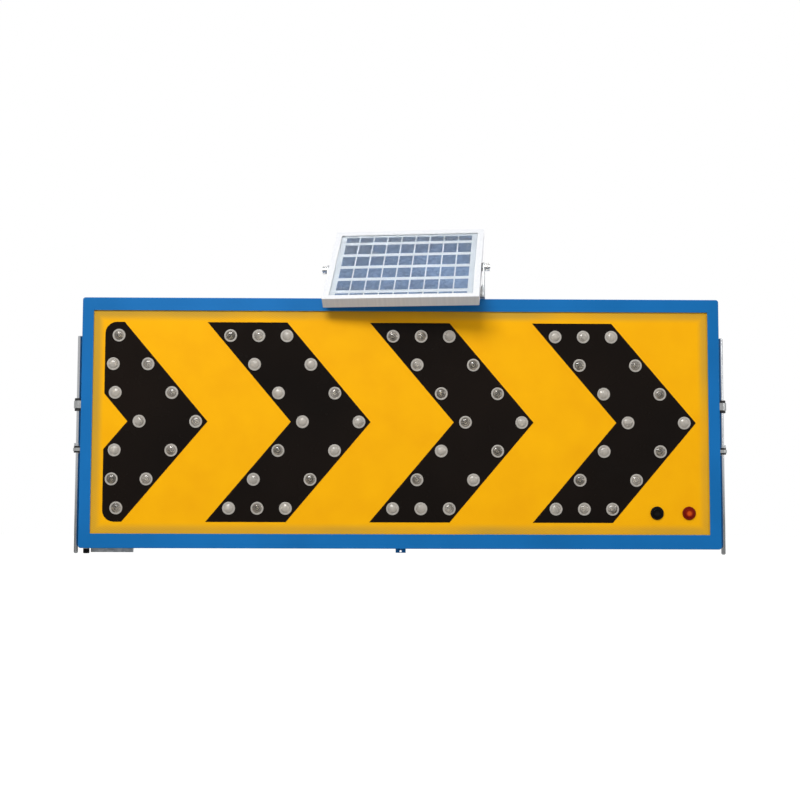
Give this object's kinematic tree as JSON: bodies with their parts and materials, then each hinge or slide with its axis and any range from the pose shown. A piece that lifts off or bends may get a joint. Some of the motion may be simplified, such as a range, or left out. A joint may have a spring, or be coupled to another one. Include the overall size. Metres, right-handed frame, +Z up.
{
  "type": "arrow board trailer head",
  "caption": "Solar-powered arrow board head: shallow box with lamp-lined chevrons, tilting solar panel, drop rods, rear service door and bolt-on rails.",
  "frame": {"origin": "centre of the four mounting holes, on the rear face of the two rails", "axes": "+X to the right of someone facing the lamps, +Y out of the back along the mounting bolts, +Z up"},
  "size_m": [1.24, 0.2098, 0.6307],
  "materials": {
    "blue_paint": "satin powder coat",
    "yellow_sheeting": "retroreflective sheeting on aluminium",
    "black_film": "glossy self-adhesive film",
    "circuit_board": "solder mask",
    "pale_plastic": "moulded, polished reflector",
    "clear_lens": "clear polycarbonate",
    "nylon_white": "moulded",
    "foam_black": "closed-cell foam",
    "galvanised": "hot-dip galvanised",
    "zinc_steel": "bright zinc plate",
    "stainless": "ground and polished bar",
    "black_nylon": "moulded",
    "black_rubber": "moulded",
    "black_gloss": "polished moulding",
    "red_plastic": "polished moulding",
    "button_housing": "moulded",
    "spring_steel": "drawn wire",
    "battery_case": "moulded",
    "nickel": "nickel plate",
    "anodised": "clear anodised",
    "solar_glass": "low-iron patterned glass",
    "silicon": "coated silicon",
    "backsheet": "white film",
    "knob_plastic": "plated moulding"
  },
  "bodies": {
    "board": {"box_shell": "blue_paint", "face_panel": "yellow_sheeting", "chevron_film_1": "black_film", "chevron_film_2": "black_film", "chevron_film_3": "black_film", "chevron_film_4": "black_film", "lamp_board_1": "circuit_board", "lamp_board_2": "circuit_board", "lamp_board_3": "circuit_board", "lamp_board_4": "circuit_board", "lamp_cups": "pale_plastic", "lamp_lenses": "clear_lens", "board_standoffs": "nylon_white", "cover_gasket": "foam_black", "back_cover": "blue_paint", "cover_screws": "zinc_steel", "mounting_rails": "galvanised", "rail_bolts": "zinc_steel", "rail_nuts": "zinc_steel", "solar_gland": "black_nylon", "door_gasket": "black_rubber", "hinge_leaf_fixed": "zinc_steel", "hinge_pin": "stainless", "service_tray": "galvanised", "battery_pack": "battery_case", "battery_strap": "zinc_steel", "controller_board": "circuit_board", "button_bodies": "button_housing", "button_nuts": "black_nylon", "black_button_spring": "spring_steel", "red_button_spring": "spring_steel", "charge_inlet": "nickel", "inlet_guard": "galvanised", "tie_down_tab": "blue_paint", "rod_guides": "zinc_steel", "guide_bushes": "black_nylon", "guide_screws": "zinc_steel", "swivel_base": "zinc_steel", "swivel_bolt": "zinc_steel", "swivel_nut": "zinc_steel"},
    "yoke": {"panel_yoke": "galvanised"},
    "panel": {"panel_rails": "anodised", "panel_glass": "solar_glass", "panel_cells": "silicon", "panel_backsheet": "backsheet", "junction_box": "black_nylon", "pivot_studs": "stainless", "pivot_washers": "black_nylon"},
    "knob_left": {"pivot_knob_left": "knob_plastic"},
    "knob_right": {"pivot_knob_right": "knob_plastic"},
    "rod_left": {"drop_rod_left": "stainless"},
    "rod_right": {"drop_rod_right": "stainless"},
    "door": {"service_door": "blue_paint", "hinge_leaf_moving": "zinc_steel"},
    "latch": {"latch_knob": "black_nylon", "latch_cam": "zinc_steel"},
    "black_button": {"black_button_cap": "black_gloss"},
    "red_button": {"red_button_cap": "red_plastic"},
    "inlet_cap": {"charge_inlet_cap": "black_rubber"}
  },
  "joints": [
    {"name": "panel_swivel", "type": "hinge", "parent": "board", "child": "yoke", "pos_m": [0.008, -0.05, 0.238], "axis": [0, 0, 1], "range_deg": [0, 16]},
    {"name": "panel_tilt", "type": "hinge", "parent": "yoke", "child": "panel", "pos_m": [0.008, -0.05, 0.297], "axis": [-0.9903, 0.1392, 0], "range_deg": [0, 45]},
    {"name": "left_knob_turn", "type": "hinge", "parent": "panel", "child": "knob_left", "pos_m": [0.008, -0.05, 0.297], "axis": [0.9903, -0.1392, 0], "continuous": true},
    {"name": "right_knob_turn", "type": "hinge", "parent": "panel", "child": "knob_right", "pos_m": [0.008, -0.05, 0.297], "axis": [0.9903, -0.1392, 0], "continuous": true},
    {"name": "left_rod_lift", "type": "slide", "parent": "board", "child": "rod_left", "axis": [0, 0, 1], "range_m": [0, 0.055]},
    {"name": "right_rod_lift", "type": "slide", "parent": "board", "child": "rod_right", "axis": [0, 0, 1], "range_m": [0, 0.055]},
    {"name": "service_door_hinge", "type": "hinge", "parent": "board", "child": "door", "pos_m": [0, -0.015, -0.056], "axis": [1, 0, 0], "range_deg": [0, 110]},
    {"name": "latch_turn", "type": "hinge", "parent": "door", "child": "latch", "pos_m": [0, -0.017, -0.179], "axis": [0, 1, 0], "range_deg": [0, 90]},
    {"name": "black_button_press", "type": "slide", "parent": "board", "child": "black_button", "axis": [0, 1, 0], "range_m": [0, 0.0025], "stiffness_N_per_m": 600, "springref_m": -0.002, "deforming": ["black_button_spring"]},
    {"name": "red_button_press", "type": "slide", "parent": "board", "child": "red_button", "axis": [0, 1, 0], "range_m": [0, 0.0025], "stiffness_N_per_m": 600, "springref_m": -0.002, "deforming": ["red_button_spring"]},
    {"name": "inlet_cap_pull", "type": "slide", "parent": "board", "child": "inlet_cap", "axis": [0, 0, -1], "range_m": [0, 0.015]}
  ]
}
